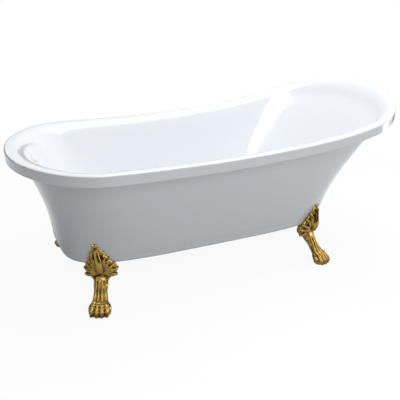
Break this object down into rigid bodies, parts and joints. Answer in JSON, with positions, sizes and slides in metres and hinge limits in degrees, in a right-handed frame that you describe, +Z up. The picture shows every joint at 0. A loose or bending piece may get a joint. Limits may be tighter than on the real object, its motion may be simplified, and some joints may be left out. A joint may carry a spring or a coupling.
{
  "type": "slipper bath",
  "caption": "Freestanding double-skinned slipper bath with a rolled rim that rises to one end, on cast lion-paw claw feet with palmette leaves.",
  "frame": {"origin": "on the floor under the middle of the rim's outline", "axes": "+X along the bath to the high slipper end, +Z up"},
  "size_m": [1.6999, 0.8408, 0.7608],
  "materials": {
    "acrylic": "polished",
    "gold_casting": "polished gold plate",
    "wood": "sawn",
    "zinc_steel": "satin",
    "polished_brass": "polished",
    "plain_brass": "satin",
    "rubber": "matte",
    "pipe_plastic": "matte",
    "hose_plastic": "matte"
  },
  "bodies": {
    "tub": {"basin": "acrylic", "skirt": "acrylic", "rim_batten": "wood", "base_board": "wood", "board_bearers": "wood", "foot_bolts": "zinc_steel", "foot_washers": "zinc_steel", "foot_nuts": "zinc_steel", "leveller_lock_nuts": "zinc_steel", "waste_flange": "polished_brass", "waste_upper_gasket": "rubber", "waste_lower_gasket": "rubber", "waste_back_nut": "polished_brass", "click_sleeve": "plain_brass", "tail_pipe": "pipe_plastic", "slip_nut": "pipe_plastic", "trap_body": "pipe_plastic", "overflow_cover": "polished_brass", "overflow_screw": "zinc_steel", "overflow_gasket": "rubber", "overflow_body": "pipe_plastic", "overflow_hose": "hose_plastic", "hose_clips": "zinc_steel", "foot_low_front": "gold_casting", "foot_plate_low_front": "zinc_steel", "foot_low_rear": "gold_casting", "foot_plate_low_rear": "zinc_steel", "foot_high_front": "gold_casting", "foot_plate_high_front": "zinc_steel", "foot_high_rear": "gold_casting", "foot_plate_high_rear": "zinc_steel"},
    "plug_body": {"plug": "polished_brass", "plug_seal": "rubber"},
    "screw_low_front": {"leveller_low_front": "zinc_steel"},
    "screw_low_rear": {"leveller_low_rear": "zinc_steel"},
    "screw_high_front": {"leveller_high_front": "zinc_steel"},
    "screw_high_rear": {"leveller_high_rear": "zinc_steel"}
  },
  "joints": [
    {"name": "plug_click", "type": "slide", "parent": "tub", "child": "plug_body", "axis": [0, 0, 1], "range_m": [0, 0.009]},
    {"name": "screw_down_low_front", "type": "slide", "parent": "tub", "child": "screw_low_front", "axis": [0, 0, 1], "range_m": [-0.012, 0]},
    {"name": "screw_down_low_rear", "type": "slide", "parent": "tub", "child": "screw_low_rear", "axis": [0, 0, 1], "range_m": [-0.012, 0]},
    {"name": "screw_down_high_front", "type": "slide", "parent": "tub", "child": "screw_high_front", "axis": [0, 0, 1], "range_m": [-0.012, 0]},
    {"name": "screw_down_high_rear", "type": "slide", "parent": "tub", "child": "screw_high_rear", "axis": [0, 0, 1], "range_m": [-0.012, 0]}
  ]
}
